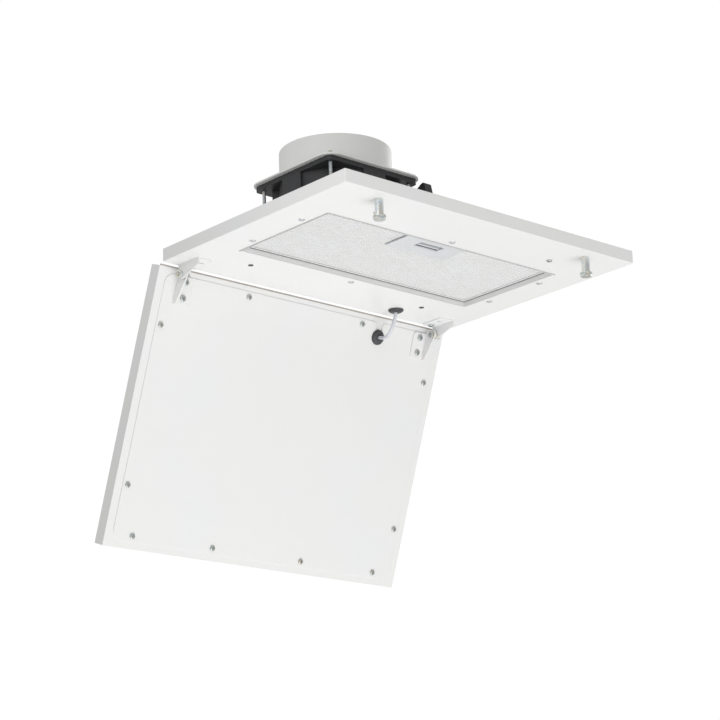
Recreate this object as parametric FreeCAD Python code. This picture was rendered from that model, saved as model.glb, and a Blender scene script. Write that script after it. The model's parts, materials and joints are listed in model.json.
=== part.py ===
import FreeCAD, Part
import math
import os

from FreeCAD import Vector

# Under cabinet range hood: a shallow white sheet-steel base panel with a grease filter in its
# opening, a hatch door that swings down from its rear edge on two sheet-metal hinges, and a
# 120 mm axial fan with a round duct spigot on top.
# Millimetres. X runs along the long edge, Y towards the hinges, Z up. The origin is the centre
# of the plane that meets the cabinet, so the base panel hangs below it.

# Base panel
BASE_W = 400.0
BASE_D = 288.0
BASE_T = 14.0
BASE_SHEET = 1.2
RIM_LIP = 12.0
UNDER = -BASE_T
FLOOR = UNDER + BASE_SHEET
OPEN_X = 158.0
OPEN_Y = 69.7
FOLD_R = 0.9
FIXING_X = 120.3
FIXING_Y = 98.5
FIXING_R = 2.3
RIVETS = [(166.0, 38.5), (166.0, -38.5), (-166.0, 38.5), (-166.0, -38.5), (0.0, 78.5), (0.0, -78.5)]

# Filter housing and fan stack
HOUSING_SHEET = 1.0
HOUSING_TOP = 16.0
FLANGE_X = 171.0
FLANGE_Y = 83.5
FAN_X = -86.0
FAN_SIDE = 119.5
FAN_H = 38.0
FAN_FLANGE = 5.0
FAN_BORE_R = 57.0
FAN_BARREL_R = 58.6
PAD_HALF = 14.5
ROD_PITCH = 104.8
ROD_R = 1.95
ROD_TOP = 62.0
PLATE_SIDE = 129.7
PLATE_R = 17.0
PLATE_T = 2.0
SPIGOT_R = 58.0
SPIGOT_SHEET = 1.0
SPIGOT_TOP = 86.6
LUG_OUT = 1.4
LUG_HALF = 3.5
FAN_Z = HOUSING_TOP
PLATE_Z = FAN_Z + FAN_H
SPIGOT_Z = PLATE_Z + PLATE_T
HUB_R = 33.0
BLADE_R = 56.2
BLADES = 7
SHAFT_R = 2.5
RUNNING_GAP = 0.05
LOOSE_GAP = 0.5

# Grease filter and its latch
FILTER_X = 156.8
FILTER_Y = 68.4
FILTER_Z = UNDER + 6.0
FILTER_T = 9.0
FILTER_SHEET = 0.6
FILTER_LIP = 2.0
MESH_T = 0.8
LATCH_X = 40.0
LATCH_Y0 = -66.2
LATCH_Y1 = -20.0
LATCH_FACE = FILTER_Z - 1.0
LATCH_CUP_X = 20.0
LATCH_CUP_Y = -30.0
FINGER_X = 16.0
FINGER_Y0 = -50.0
FINGER_Y1 = -37.5

# Door, measured from its hinge-side inner edge: d away from that edge, w towards the base
DOOR_W = 400.0
DOOR_D = 295.0
DOOR_T = 15.0
DOOR_SHEET = 1.0
DOOR_LIP = 22.0
COVER_T = 0.8
COVER_SIDE = 9.5
COVER_TOP = 5.6
COVER_END = 8.0
COVER_R = 12.0
OPEN_ANGLE = 110.1
PIVOT_Y = 140.0
PIVOT_DROP = 10.9
PIVOT_D = 5.5
PIVOT_W = 11.5
PIVOT_Z = UNDER - PIVOT_DROP
COVER_SCREWS = [(80.0, 11.5), (184.7, 60.4), (184.7, 229.2), (166.0, 281.0), (61.0, 281.0)]

# Hinges, as distances from the middle plane of the hood
WEB_OUT = 180.0
WEB_IN = 175.5
BRACKET_T = 1.5
BOSS_R = 5.0
FOOT_X = 168.5
FOOT_SLOT_Y = 121.0
FOOT_SCREW_Y = 135.5
DOOR_SCREW_X = 165.0
DOOR_SCREW_D = [11.6, 28.7]

# Spacer bolts that hold the closed door off the base
BOLT_X = 143.5
BOLT_Y = -128.0
BOLT_REACH = 21.3
SLEEVE_R = 4.35
HEAD_H = 2.9
WASHER_R = 6.5
MAGNET_R = 3.6
WASHER_T = 1.2

# Lead between base and door
LEAD_R = 2.0
BASE_GROMMET = (103.0, 121.5)
DOOR_GROMMET = (105.5, 22.0)
GROMMET_NECK = 5.5
GROMMET_R = 8.6
GROMMET_DOME = 3.5
LEAD_ROUTE = [
    (103.0, 121.5, -8.5),
    (103.0, 121.5, -19.0),
    (103.6, 125.2, -28.8),
    (104.4, 130.8, -37.2),
    (105.0, 139.4, -41.4),
    (105.5, 149.43, -39.02),
    (105.5, 158.8, -35.59),
]
FAN_LEAD_ROUTE = [
    (-20.5, -56.0, 34.5),
    (-20.5, -56.0, 26.0),
    (-19.5, -47.0, 19.6),
    (-17.0, -30.0, 19.0),
    (-13.0, -5.0, 19.5),
    (-10.0, 25.0, 19.0),
    (-8.0, 50.0, 19.3),
    (-7.0, 66.0, 20.6),
    (-6.0, 77.0, 16.5),
    (-5.0, 81.5, 5.5),
    (-2.0, 85.0, -3.5),
    (7.0, 91.5, -8.6),
    (21.0, 99.0, -8.8),
    (39.0, 105.5, -8.0),
    (60.0, 109.0, -7.5),
]

# Lights and controls in the door
LIGHT_X = 100.0
LIGHT_D = 212.0
LIGHT_R = 28.0
PANEL_D = 262.0
BUTTON_X = [-26.0, 0.0, 26.0]
BUTTON_R = 4.5
BUTTON_OUT = 2.0

# Terminal cover on the base floor
TERMINAL_X = (60.0, 150.0)
TERMINAL_Y = (104.0, 139.0)
TERMINAL_TOP = -1.6
MAINS_X = 118.0
MAINS_Y = 125.0
BUSH_R = 4.4


def block(x0, y0, z0, x1, y1, z1):
    return Part.makeBox(x1 - x0, y1 - y0, z1 - z0, Vector(x0, y0, z0))


def rod(x, y, z0, z1, r):
    return Part.makeCylinder(r, z1 - z0, Vector(x, y, z0))


def rod_x(x0, x1, y, z, r):
    return Part.makeCylinder(r, x1 - x0, Vector(x0, y, z), Vector(1, 0, 0))


def hexagon(x, y, z0, z1, flats):
    corner = flats / math.sqrt(3.0)
    ring = []
    for i in range(7):
        a = math.radians(60.0 * i + 30.0)
        ring.append(Vector(x + corner * math.cos(a), y + corner * math.sin(a), z0))
    return Part.Face(Part.makePolygon(ring)).extrude(Vector(0, 0, z1 - z0))


def hexagon_x(x0, x1, y, z, flats):
    shape = hexagon(0, 0, 0, x1 - x0, flats)
    shape.rotate(Vector(0, 0, 0), Vector(0, 1, 0), 90)
    shape.translate(Vector(x0, y, z))
    return shape


def rounded(x0, y0, x1, y1, z0, z1, r):
    shape = block(x0, y0, z0, x1, y1, z1)
    upright = [e for e in shape.Edges if abs(e.tangentAt(e.FirstParameter).z) > 0.9]
    return shape.makeFillet(r, upright)


def slot(x, y, z0, z1, length, width):
    r = width / 2.0
    half = length / 2.0 - r
    middle = block(x - half, y - r, z0, x + half, y + r, z1)
    return middle.fuse([rod(x - half, y, z0, z1, r), rod(x + half, y, z0, z1, r)]).removeSplitter()


def plate_x(x0, x1, outline):
    ring = [Vector(x0, y, z) for y, z in outline]
    ring.append(ring[0])
    return Part.Face(Part.makePolygon(ring)).extrude(Vector(x1 - x0, 0, 0))


def turned(profile, x, y):
    # A profile of (radius, height) points, turned about the vertical axis through x, y.
    ring = [Vector(r, 0, z) for r, z in profile]
    ring.append(ring[0])
    shape = Part.Face(Part.makePolygon(ring)).revolve(Vector(0, 0, 0), Vector(0, 0, 1), 360)
    shape.translate(Vector(x, y, 0))
    return shape


def mirrored(shape):
    return shape.mirror(Vector(0, 0, 0), Vector(1, 0, 0))


def both_sides(shape):
    return [shape, mirrored(shape)]


def cable(route, radius, name):
    points = [Vector(*p) for p in route]
    edges = []
    start = points[0]
    radii = []
    for i in range(1, len(points) - 1):
        before = points[i] - points[i - 1]
        after = points[i + 1] - points[i]
        turn = before.getAngle(after)
        reach = 0.45 * min(before.Length, after.Length)
        radii.append(reach / math.tan(turn / 2.0))
        a = points[i] - before.normalize() * reach
        b = points[i] + after.normalize() * reach
        inward = (after - before).normalize()
        sag = reach * math.tan(turn / 4.0) * math.cos(turn / 2.0)
        half_chord = reach * math.cos(turn / 2.0)
        middle = (a + b) * 0.5
        top = middle - inward * (half_chord * math.tan(turn / 4.0))
        edges.append(Part.LineSegment(start, a).toShape())
        edges.append(Part.Arc(a, top, b).toShape())
        start = b
    edges.append(Part.LineSegment(start, points[-1]).toShape())
    wire = Part.Wire(edges)
    end = Part.Wire(Part.Circle(points[0], points[1] - points[0], radius).toShape())
    tube = wire.makePipeShell([end], True, False)
    share = tube.Volume / (math.pi * radius * radius * wire.Length)
    print(name, "length", round(wire.Length, 1), "least radius", round(min(radii), 1), "volume share", round(share, 3))
    return tube


def open_door(shape):
    # Door shapes are drawn with x as it is, y = -d and z = w, then hung on the pivot and opened.
    shape = shape.copy()
    shape.translate(Vector(0, PIVOT_D, -PIVOT_W))
    shape.rotate(Vector(0, 0, 0), Vector(1, 0, 0), OPEN_ANGLE)
    shape.translate(Vector(0, PIVOT_Y, PIVOT_Z))
    return shape


def save(name, shapes):
    if not isinstance(shapes, list):
        shapes = [shapes]
    solids = [solid for shape in shapes for solid in shape.Solids]
    for solid in solids:
        if not solid.isValid() or solid.Volume <= 0:
            print("check", name)
    whole = solids[0] if len(solids) == 1 else Part.makeCompound(solids)
    whole.exportStep("parts/" + name + ".step")


def save_on_door(name, shapes):
    if not isinstance(shapes, list):
        shapes = [shapes]
    save(name, [open_door(shape) for shape in shapes])


# ---------------------------------------------------------------- base panel and its fasteners

def base_panel():
    half_x = BASE_W / 2.0
    half_y = BASE_D / 2.0
    tray = block(-half_x, -half_y, UNDER, half_x, half_y, 0)
    folds = [e for e in tray.Edges if e.BoundBox.ZMin < UNDER + 0.1]
    tray = tray.makeFillet(FOLD_R, folds)
    inner_x = half_x - BASE_SHEET
    inner_y = half_y - BASE_SHEET
    tray = tray.cut(block(-inner_x, -inner_y, FLOOR, inner_x, inner_y, -BASE_SHEET))
    tray = tray.cut(block(RIM_LIP - half_x, RIM_LIP - half_y, -2, half_x - RIM_LIP, half_y - RIM_LIP, 1))
    tools = [block(-OPEN_X, -OPEN_Y, UNDER - 1, OPEN_X, OPEN_Y, FLOOR + 1)]
    tools.append(rod(BASE_GROMMET[0], BASE_GROMMET[1], UNDER - 1, FLOOR + 1, GROMMET_NECK))
    for x, y in RIVETS:
        tools.append(rod(x, y, UNDER - 1, FLOOR + 1, 1.65))
    for x in (-FIXING_X, FIXING_X):
        for y in (-FIXING_Y, FIXING_Y):
            tools.append(rod(x, y, UNDER - 1, FLOOR + 1, FIXING_R))
    for x in (-BOLT_X, BOLT_X):
        tools.append(rod(x, BOLT_Y, UNDER - 1, FLOOR + 1, 2.6))
    for x in (-FOOT_X, FOOT_X):
        for y in (FOOT_SLOT_Y, FOOT_SCREW_Y):
            tools.append(rod(x, y, UNDER - 1, FLOOR + 1, 2.1))
    return tray.cut(tools)


def filter_housing():
    wall_x = OPEN_X + HOUSING_SHEET
    wall_y = OPEN_Y + HOUSING_SHEET
    under_top = HOUSING_TOP - HOUSING_SHEET
    shell = block(-wall_x, -wall_y, FLOOR, wall_x, wall_y, under_top)
    flange = block(-FLANGE_X, -FLANGE_Y, FLOOR, FLANGE_X, FLANGE_Y, FLOOR + HOUSING_SHEET)
    shell = shell.fuse(flange)
    shell = shell.cut(block(-OPEN_X, -OPEN_Y, FLOOR - 1, OPEN_X, OPEN_Y, under_top + 1))
    stop_z = FILTER_Z + FILTER_T + 0.4
    stops = []
    for side in (-1, 1):
        x = side * (OPEN_X + 0.5)
        stops.append(block(min(x, x - side * 6), -12, stop_z, max(x, x - side * 6), 12, stop_z + 1))
    shell = shell.fuse(stops).removeSplitter()
    tools = [rod(x, y, FLOOR - 1, FLOOR + 2, 1.65) for x, y in RIVETS]
    for x in (-110.0, 110.0):
        tools.append(block(x - 8, OPEN_Y - 1, FILTER_Z + 3, x + 8, wall_y + 1, FILTER_Z + 6))
    tools.append(block(-13, -wall_y - 1, FILTER_Z + 0.9, 13, -OPEN_Y + 1, FILTER_Z + 3.6))
    return shell.cut(tools)


def housing_top():
    wall_x = OPEN_X + HOUSING_SHEET
    wall_y = OPEN_Y + HOUSING_SHEET
    under_top = HOUSING_TOP - HOUSING_SHEET
    plate = block(-wall_x, -wall_y, under_top, wall_x, wall_y, HOUSING_TOP)
    tools = [rod(FAN_X, 0, 0, HOUSING_TOP + 1, FAN_BORE_R - 1)]
    for x, y in rod_places():
        tools.append(rod(x, y, 0, HOUSING_TOP + 1, 2.2))
    return plate.cut(tools)


def rod_places():
    half = ROD_PITCH / 2.0
    return [(FAN_X + sx * half, sy * half) for sx in (-1, 1) for sy in (-1, 1)]


def housing_rivets():
    made = []
    for x, y in RIVETS:
        head = Part.makeSphere(5.4, Vector(x, y, UNDER + 3.9)).common(rod(x, y, UNDER - 1.5, UNDER, 3.7))
        tail = rod(x, y, FLOOR + HOUSING_SHEET, FLOOR + HOUSING_SHEET + 1.3, 2.4)
        made.append(head.fuse([rod(x, y, UNDER, FLOOR + HOUSING_SHEET, 1.6), tail]).removeSplitter())
    return made


def screw(x, y, face, head_r, head_h, shank_r, length):
    # A pan-head screw whose head hangs below the given face, with a cross recess in the head.
    head = Part.makeCylinder(head_r, head_h, Vector(x, y, face - head_h))
    lower = [e for e in head.Edges if e.BoundBox.ZMax < face - head_h + 0.01 and len(e.Vertexes) == 1]
    head = head.makeFillet(head_h * 0.55, lower)
    reach = head_r * 0.55
    depth = face - head_h + head_h * 0.45
    cross = block(x - reach, y - 0.35, face - head_h - 1, x + reach, y + 0.35, depth)
    cross = cross.fuse(block(x - 0.35, y - reach, face - head_h - 1, x + 0.35, y + reach, depth))
    return head.cut(cross).fuse(rod(x, y, face, face + length, shank_r)).removeSplitter()


def upward(shape, x, y, face):
    # Turns a screw over, so that its head stands above the face instead of below it.
    shape = shape.copy()
    shape.rotate(Vector(x, y, face), Vector(1, 0, 0), 180)
    return shape


def spacer_parts():
    sleeves = []
    washers = []
    bolts = []
    nuts = []
    magnets = []
    tip = UNDER - BOLT_REACH
    head_top = tip + HEAD_H
    for x in (-BOLT_X, BOLT_X):
        sleeves.append(rod(x, BOLT_Y, head_top + WASHER_T, UNDER, SLEEVE_R).cut(rod(x, BOLT_Y, tip, 0, 2.65)))
        washers.append(rod(x, BOLT_Y, head_top, head_top + WASHER_T, WASHER_R).cut(rod(x, BOLT_Y, tip, 0, 2.65)))
        head = hexagon(x, BOLT_Y, tip, head_top, 10.8).cut(rod(x, BOLT_Y, tip - 1, tip + 2.1, MAGNET_R + 0.05))
        bolts.append(head.fuse(rod(x, BOLT_Y, tip + 2.1, -4.6, 2.5)).removeSplitter())
        nuts.append(hexagon(x, BOLT_Y, FLOOR, FLOOR + 4.0, 8.0).cut(rod(x, BOLT_Y, FLOOR - 1, 0, 2.55)))
        magnets.append(rod(x, BOLT_Y, tip, tip + 2.1, MAGNET_R))
    return {
        "spacer_sleeves": sleeves,
        "spacer_washers": washers,
        "spacer_bolts": bolts,
        "spacer_nuts": nuts,
        "catch_magnets": magnets,
    }


def fixing_screws():
    return [screw(x, -FIXING_Y, UNDER, 3.1, 1.4, 2.0, 10.0) for x in (-FIXING_X, FIXING_X)]


# ---------------------------------------------------------------- wiring on the base

def terminal_cover():
    x0, x1 = TERMINAL_X
    y0, y1 = TERMINAL_Y
    wall = 1.6
    shell = rounded(x0, y0, x1, y1, FLOOR, TERMINAL_TOP, 3.0)
    shell = shell.cut(block(x0 + wall, y0 + wall, FLOOR - 1, x1 - wall, y1 - wall, TERMINAL_TOP - wall))
    shell = shell.cut(rod_x(x0 - 1, x0 + 3, 109.0, -7.5, 2.3))
    return shell.cut(rod(MAINS_X, MAINS_Y, TERMINAL_TOP - 3, TERMINAL_TOP + 1, BUSH_R))


def terminal_block():
    x0 = TERMINAL_X[0] + 6
    body = block(x0, 110, FLOOR, x0 + 20, 132, FLOOR + 7.6)
    wells = []
    for i in range(3):
        y = 113.7 + 7.3 * i
        wells.append(rod(x0 + 5, y, FLOOR + 2, FLOOR + 9, 1.8))
        wells.append(rod(x0 + 15, y, FLOOR + 2, FLOOR + 9, 1.8))
    return body.cut(wells)


def mains_bush():
    # A rubber-lined bush in the cover's top: the mains lead comes straight down through it.
    flange = rod(MAINS_X, MAINS_Y, TERMINAL_TOP, TERMINAL_TOP + 1.2, BUSH_R + 2.4)
    neck = rod(MAINS_X, MAINS_Y, TERMINAL_TOP - 6.0, TERMINAL_TOP, BUSH_R)
    return flange.fuse(neck).removeSplitter().cut(rod(MAINS_X, MAINS_Y, -12, 1, 2.4))


def grommet(x, y, sheet, thickness):
    # Domed flange below the sheet's lower face, neck through it and a small flange above.
    dome = []
    for i in range(7):
        a = math.radians(90.0 * i / 6.0)
        dome.append((3.1 + (GROMMET_R - 3.1) * math.sin(a), sheet - GROMMET_DOME * math.cos(a)))
    top = sheet + thickness
    profile = [(LEAD_R + LOOSE_GAP, sheet - GROMMET_DOME)] + dome
    profile += [(GROMMET_NECK, sheet), (GROMMET_NECK, top), (7.4, top), (6.8, top + 1.9)]
    profile.append((LEAD_R + LOOSE_GAP, top + 1.9))
    return turned(profile, x, y)


def lead_clamp():
    x, y = BASE_GROMMET
    saddle = block(x - 9, y - 4.5, -10.6, x + 9, y + 4.5, -5.0)
    legs = [block(x - 9, y - 4.5, FLOOR, x - 7.6, y + 4.5, -10), block(x + 7.6, y - 4.5, FLOOR, x + 9, y + 4.5, -10)]
    return saddle.fuse(legs).removeSplitter().cut(rod(x, y, -11, -4, LEAD_R + RUNNING_GAP))


# ---------------------------------------------------------------- hinges

def hinge_base():
    foot = block(WEB_OUT - 19.5, 110, UNDER - BRACKET_T, WEB_OUT, 142, UNDER)
    inner = [e for e in foot.Edges if abs(e.tangentAt(e.FirstParameter).z) > 0.9 and e.BoundBox.XMax < WEB_OUT - 10]
    foot = foot.makeFillet(4.0, inner)
    outline = [(110, UNDER), (110, UNDER - 7), (138.6, PIVOT_Z - 4.8), (145, PIVOT_Z), (143.5, UNDER)]
    web = plate_x(WEB_OUT - BRACKET_T, WEB_OUT, outline)
    boss = rod_x(WEB_OUT - BRACKET_T, WEB_OUT, PIVOT_Y, PIVOT_Z, BOSS_R)
    bracket = foot.fuse([web, boss]).removeSplitter()
    tools = [slot(FOOT_X, FOOT_SLOT_Y, UNDER - 3, UNDER + 1, 7.0, 4.2)]
    tools.append(rod(FOOT_X, FOOT_SCREW_Y, UNDER - 3, UNDER + 1, 2.1))
    tools.append(rod_x(WEB_OUT - 3, WEB_OUT + 1, PIVOT_Y, PIVOT_Z, SHAFT_R + RUNNING_GAP))
    return bracket.cut(tools)


def hinge_door():
    face = COVER_T
    flange = block(DOOR_SCREW_X - 9, -36, face, WEB_IN, -6, face + BRACKET_T)
    inner = [e for e in flange.Edges if abs(e.tangentAt(e.FirstParameter).z) > 0.9 and e.BoundBox.XMax < WEB_IN - 10]
    flange = flange.makeFillet(4.0, inner)
    outline = [(-2.5, face), (-36, face), (-35, 6), (-7.6, PIVOT_W + 4.5), (-0.6, PIVOT_W - 1)]
    web = plate_x(WEB_IN - BRACKET_T, WEB_IN, outline)
    boss = rod_x(WEB_IN - BRACKET_T, WEB_IN, -PIVOT_D, PIVOT_W, BOSS_R)
    bracket = flange.fuse([web, boss]).removeSplitter()
    tools = [rod(DOOR_SCREW_X, -d, face - 1, face + 3, 2.1) for d in DOOR_SCREW_D]
    tools.append(rod_x(WEB_IN - 3, WEB_IN + 1, -PIVOT_D, PIVOT_W, SHAFT_R + RUNNING_GAP))
    return bracket.cut(tools)


def pivot_screw():
    head_end = WEB_IN - BRACKET_T - RUNNING_GAP
    head = rod_x(head_end - 2.9, head_end, PIVOT_Y, PIVOT_Z, 3.6)
    cross = block(head_end - 4, PIVOT_Y - 2, PIVOT_Z - 0.4, head_end - 1.6, PIVOT_Y + 2, PIVOT_Z + 0.4)
    cross = cross.fuse(block(head_end - 4, PIVOT_Y - 0.4, PIVOT_Z - 2, head_end - 1.6, PIVOT_Y + 0.4, PIVOT_Z + 2))
    shank = rod_x(head_end, WEB_OUT + 4.6, PIVOT_Y, PIVOT_Z, SHAFT_R)
    return head.cut(cross).fuse(shank).removeSplitter()


def pivot_nut():
    nut = hexagon_x(WEB_OUT, WEB_OUT + 3.6, PIVOT_Y, PIVOT_Z, 8.0)
    return nut.cut(rod_x(WEB_OUT - 1, WEB_OUT + 5, PIVOT_Y, PIVOT_Z, SHAFT_R + RUNNING_GAP))


def pivot_washer():
    x0 = WEB_IN + RUNNING_GAP
    x1 = WEB_OUT - BRACKET_T
    washer = rod_x(x0, x1, PIVOT_Y, PIVOT_Z, 4.4)
    return washer.cut(rod_x(x0 - 1, x1 + 1, PIVOT_Y, PIVOT_Z, SHAFT_R + RUNNING_GAP))


# ---------------------------------------------------------------- fan and duct

def about_fan(shape, angle):
    shape.rotate(Vector(0, 0, 0), Vector(0, 0, 1), angle)
    shape.translate(Vector(FAN_X, 0, 0))
    return shape


def fan_flange(z0):
    half = FAN_SIDE / 2.0
    plate = rounded(FAN_X - half, -half, FAN_X + half, half, z0, z0 + FAN_FLANGE, 6.0)
    tools = [rod(FAN_X, 0, z0 - 1, z0 + FAN_FLANGE + 1, FAN_BORE_R)]
    for x, y in rod_places():
        tools.append(rod(x, y, z0 - 1, z0 + FAN_FLANGE + 1, 2.2))
    return plate.cut(tools)


def fan_lower_frame():
    # The lower flange with the four struts and the cup that carry the motor.
    mount = [rod(FAN_X, 0, FAN_Z, FAN_Z + 3, 31.0), rod(FAN_X, 0, FAN_Z, FAN_Z + 28, 8.5)]
    for angle in (45, 135, 225, 315):
        mount.append(about_fan(block(29, -4, FAN_Z, 58, 4, FAN_Z + 3), angle))
    body = fan_flange(FAN_Z).fuse(mount).removeSplitter()
    return body.cut(rod(FAN_X, 0, FAN_Z + 3, FAN_Z + 30, 6.5))


def fan_barrel():
    z0 = FAN_Z + FAN_FLANGE
    z1 = FAN_Z + FAN_H - FAN_FLANGE
    barrel = rod(FAN_X, 0, z0, z1, FAN_BARREL_R)
    pads = [about_fan(block(FAN_BARREL_R - 4, -PAD_HALF, z0, FAN_SIDE / 2.0, PAD_HALF, z1), a) for a in (0, 90, 180, 270)]
    waist = [about_fan(block(FAN_BARREL_R - 2, -1.0, z0, FAN_BARREL_R + 7, 1.0, z1), a) for a in (45, 135, 225, 315)]
    body = barrel.fuse(pads + waist).removeSplitter()
    return body.cut(rod(FAN_X, 0, z0 - 1, z1 + 1, FAN_BORE_R))


def fan_stator():
    core = rod(FAN_X, 0, FAN_Z + 8, FAN_Z + 22, 20.0).cut(rod(FAN_X, 0, FAN_Z, FAN_Z + 30, 8.5))
    slots = []
    for i in range(8):
        gap = block(12, -2.2, FAN_Z + 7, 21, 2.2, FAN_Z + 23)
        gap.rotate(Vector(0, 0, 0), Vector(0, 0, 1), 45.0 * i)
        gap.translate(Vector(FAN_X, 0, 0))
        slots.append(gap)
    return core.cut(slots)


def fan_bearings():
    made = []
    for z in (FAN_Z + 3.6, FAN_Z + 23.6):
        ring = rod(FAN_X, 0, z, z + 4, 6.5)
        made.append(ring.cut(rod(FAN_X, 0, z - 1, z + 5, SHAFT_R + RUNNING_GAP)))
    return made


def fan_impeller():
    base = FAN_Z + 6.5
    top = FAN_Z + 33
    hub = rod(FAN_X, 0, base, top, HUB_R).cut(rod(FAN_X, 0, base - 1, top - 3, 30.0))
    ring = rod(FAN_X, 0, base + 1, top - 1, BLADE_R).cut(rod(FAN_X, 0, base, top, 31.5))
    blades = []
    for i in range(BLADES):
        blade = block(30, -22, -1.0, 60, 22, 1.0)
        blade.rotate(Vector(0, 0, 0), Vector(1, 0, 0), 38)
        blade.translate(Vector(0, 0, (base + top) / 2.0))
        blade.rotate(Vector(0, 0, 0), Vector(0, 0, 1), 360.0 / BLADES * i)
        blade.translate(Vector(FAN_X, 0, 0))
        blades.append(blade.common(ring))
    whole = hub.fuse(blades).removeSplitter()
    return whole.cut(rod(FAN_X, 0, base, top + 1, SHAFT_R))


def rotor_cage():
    return rod(FAN_X, 0, FAN_Z + 8, FAN_Z + 22, 30.0).cut(rod(FAN_X, 0, FAN_Z, FAN_Z + 30, 20.8))


def fan_plug():
    # A hood over the fan's terminals: it rises towards the front corner and ends in a rounded nose.
    x0 = FAN_X + FAN_SIDE / 2.0
    outline = [(-42.0, 34.5), (-42.0, 42.6), (-52.0, 43.2), (-58.5, 45.2), (-63.0, 48.0), (-66.6, 48.9)]
    outline += [(-68.6, 47.6), (-69.6, 43.0), (-70.2, 34.5)]
    body = plate_x(x0, x0 + 10.4, outline)
    long_edges = [e for e in body.Edges if e.BoundBox.XMin > x0 + 10 and e.BoundBox.ZMin > 40]
    return body.makeFillet(1.6, long_edges)


def duct_plate():
    half = PLATE_SIDE / 2.0
    plate = rounded(FAN_X - half, -half, FAN_X + half, half, PLATE_Z, PLATE_Z + PLATE_T, PLATE_R)
    rims = [e for e in plate.Edges if abs(e.tangentAt(e.FirstParameter).z) < 0.1]
    plate = plate.makeFillet(0.8, rims)
    lug = block(SPIGOT_R + LUG_OUT, -LUG_HALF, SPIGOT_Z - 0.5, SPIGOT_R + LUG_OUT + 4.0, LUG_HALF, SPIGOT_Z + 1)
    plate = plate.fuse([about_fan(lug, 30.0 * i) for i in range(12)]).removeSplitter()
    tools = [rod(FAN_X, 0, PLATE_Z - 1, SPIGOT_Z + 1, FAN_BORE_R)]
    for x, y in rod_places():
        tools.append(rod(x, y, PLATE_Z - 1, SPIGOT_Z + 1, 2.2))
    return plate.cut(tools)


def duct_spigot():
    # A plain round wall that a hose slides over; it stands inside the lugs of the plate.
    return rod(FAN_X, 0, SPIGOT_Z, SPIGOT_TOP, SPIGOT_R).cut(
        rod(FAN_X, 0, SPIGOT_Z - 1, SPIGOT_TOP + 1, SPIGOT_R - SPIGOT_SHEET))


def rod_nuts(z0, z1):
    made = []
    for x, y in rod_places():
        made.append(hexagon(x, y, z0, z1, 7.0).cut(rod(x, y, z0 - 1, z1 + 1, ROD_R + RUNNING_GAP)))
    return made


# ---------------------------------------------------------------- grease filter

def filter_frame():
    x = FILTER_X
    y = FILTER_Y
    z0 = FILTER_Z
    z1 = FILTER_Z + FILTER_T
    frame = block(-x, -y, z0, x, y, z1)
    inner_x = x - FILTER_SHEET
    inner_y = y - FILTER_SHEET
    frame = frame.cut(block(-inner_x, -inner_y, z0 + FILTER_SHEET, inner_x, inner_y, z1 - FILTER_SHEET))
    frame = frame.cut(block(FILTER_LIP - x, FILTER_LIP - y, z0 - 1, x - FILTER_LIP, y - FILTER_LIP, z1 + 1))
    tabs = [block(tx - 7, y - 0.3, z0 + 4, tx + 7, y + 3.4, z0 + 5) for tx in (-110.0, 110.0)]
    frame = frame.fuse(tabs).removeSplitter()
    return frame.cut(block(-12, -y - 1, z0 + 0.9, 12, -y + 1.2, z0 + 3.6))


def filter_sheet(z0, notch_x, notch_y):
    x = FILTER_X - FILTER_SHEET
    y = FILTER_Y - FILTER_SHEET
    sheet = block(-x, -y, z0, x, y, z0 + MESH_T)
    return sheet.cut(block(-notch_x, -y - 1, z0 - 1, notch_x, notch_y, z0 + 2))


def latch_plate():
    face_top = LATCH_FACE + 1.5
    plate = rounded(-LATCH_X, LATCH_Y0, LATCH_X, LATCH_Y1, LATCH_FACE, face_top, 2.0)
    cup = block(-LATCH_CUP_X, LATCH_Y0, face_top, LATCH_CUP_X, LATCH_CUP_Y, face_top + 6)
    hollow = block(1 - LATCH_CUP_X, LATCH_Y0 - 1, face_top, LATCH_CUP_X - 1, LATCH_CUP_Y - 1, face_top + 5)
    body = plate.fuse(cup.cut(hollow)).removeSplitter()
    return body.cut(block(-FINGER_X, FINGER_Y0, LATCH_FACE - 1, FINGER_X, FINGER_Y1, face_top + 0.5))


def latch_slider():
    # A frame round a finger gap: the tongue is in front, the lip that the finger draws is behind.
    z0 = LATCH_FACE + 2.0
    front = block(-16.5, -58, z0, 16.5, -51.6, z0 + 1.4)
    arms = both_sides(block(14.6, -51.6, z0, 16.5, -44.2, z0 + 1.4))
    rear = block(-16.5, -44.2, z0, 16.5, -38.2, z0 + 1.4)
    lip = block(-13.8, -44.2, LATCH_FACE + 0.4, 13.8, -42.0, z0)
    tongue = block(-11, -73.5, z0 + 0.4, 11, -56, z0 + 2.0)
    spring_seat = block(-4, -39.4, z0, 4, -38.2, z0 + 4.3)
    return front.fuse(arms + [rear, lip, tongue, spring_seat]).removeSplitter()


def latch_spring():
    length = 6.4
    helix = Part.makeHelix(1.2, length, 1.5)
    wire = Part.Wire(Part.Circle(Vector(1.5, 0, 0), Vector(0, 1, 0), 0.25).toShape())
    coil = Part.Wire(helix.Edges).makePipeShell([wire], True, True)
    coil.rotate(Vector(0, 0, 0), Vector(1, 0, 0), -90)
    coil.translate(Vector(0, -37.7, LATCH_FACE + 3.9))
    return coil


# ---------------------------------------------------------------- door

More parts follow.
